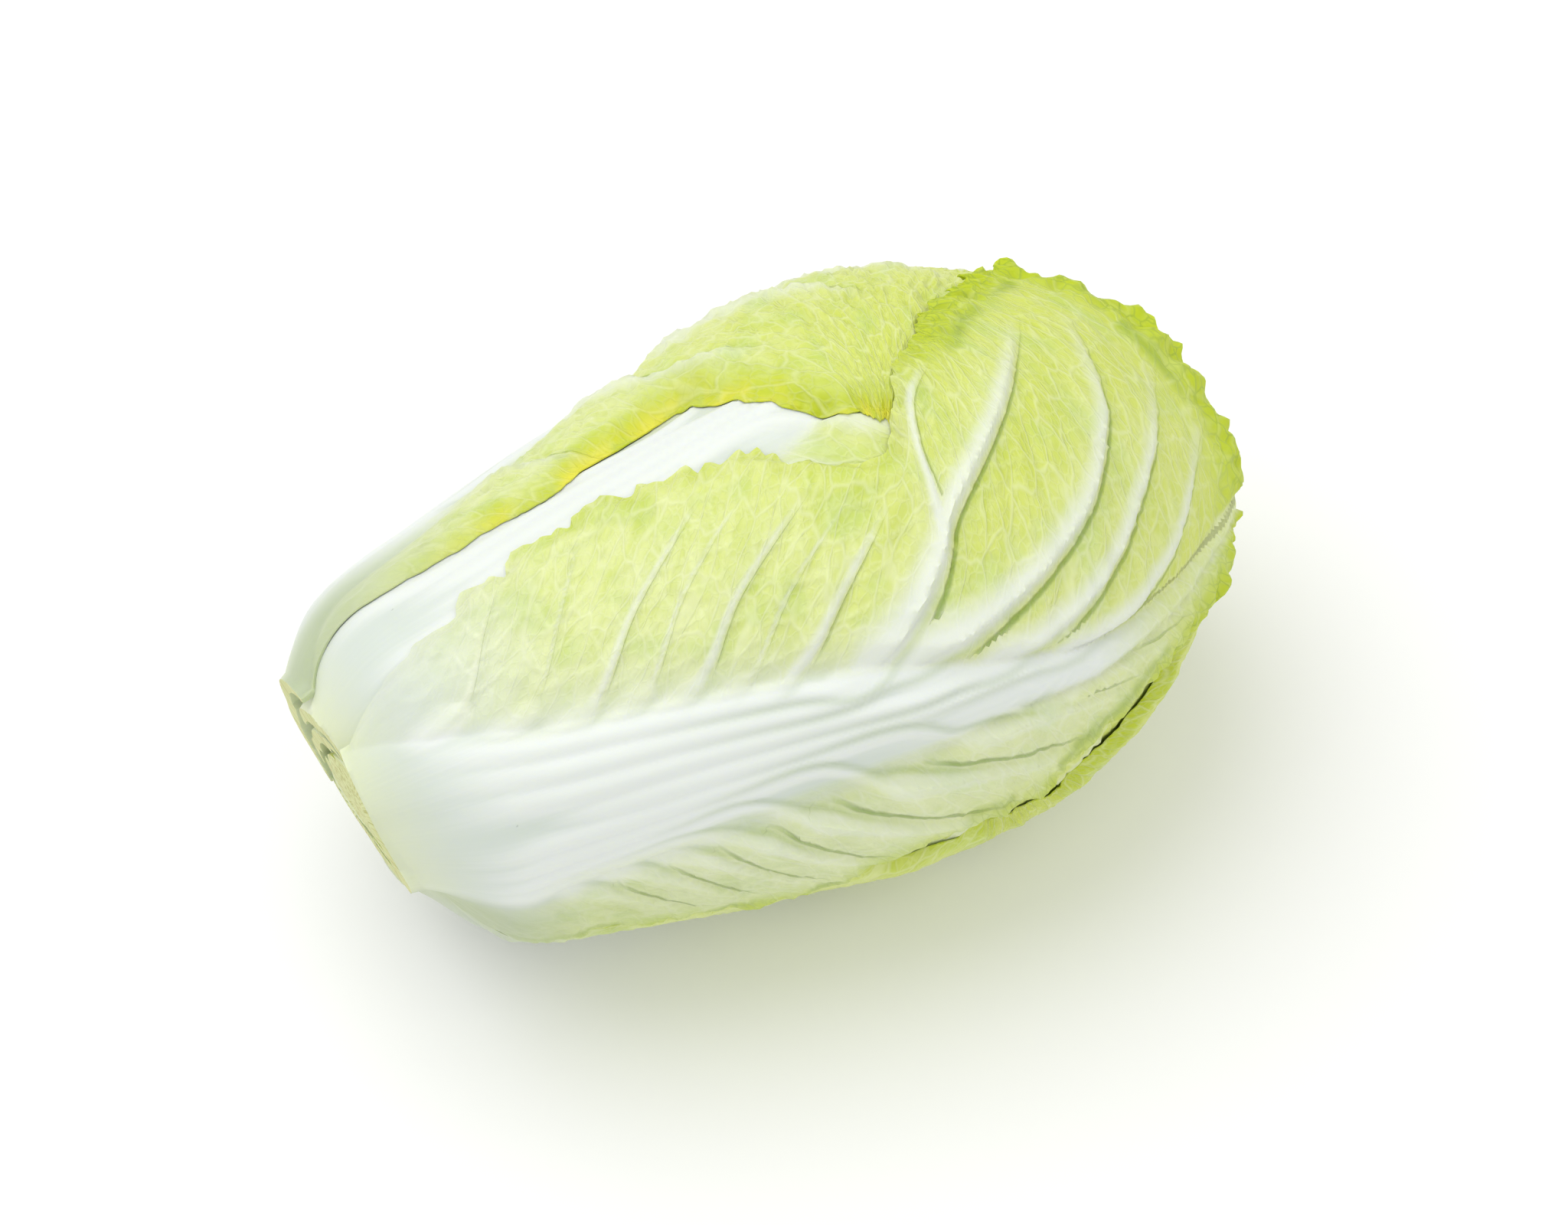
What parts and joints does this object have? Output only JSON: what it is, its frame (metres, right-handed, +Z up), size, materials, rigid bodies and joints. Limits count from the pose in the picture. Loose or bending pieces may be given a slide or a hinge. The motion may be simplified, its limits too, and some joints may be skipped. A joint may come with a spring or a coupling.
{
  "type": "napa cabbage",
  "caption": "Napa cabbage head lying on its side, cut at the stem: overlapping leaves with broad white ribs, veins and waved yellow-green edges.",
  "frame": {"origin": "on the surface that the head lies on, under the middle of its box", "axes": "+X runs along the head from the cut stem to the leafy tip, +Z is up out of the surface, and the largest outer leaf faces -Y and up"},
  "size_m": [0.2788, 0.1694, 0.1586],
  "materials": {
    "heart": "moist, pale yellow, packed leaves with a cream cut end",
    "inner_leaf": "soft waxy leaf, pale yellow-green blade and white rib",
    "outer_leaf": "soft waxy leaf, yellow-green veined blade, broad white rib, waved brighter edge"
  },
  "bodies": {
    "root": {"stem_and_heart": "heart", "inner_leaf_1": "inner_leaf", "inner_leaf_2": "inner_leaf", "inner_leaf_3": "inner_leaf", "inner_leaf_4": "inner_leaf", "outer_leaf_top": "outer_leaf", "outer_leaf_under": "outer_leaf", "outer_leaf_back": "outer_leaf", "outer_leaf_front": "outer_leaf"}
  },
  "joints": []
}
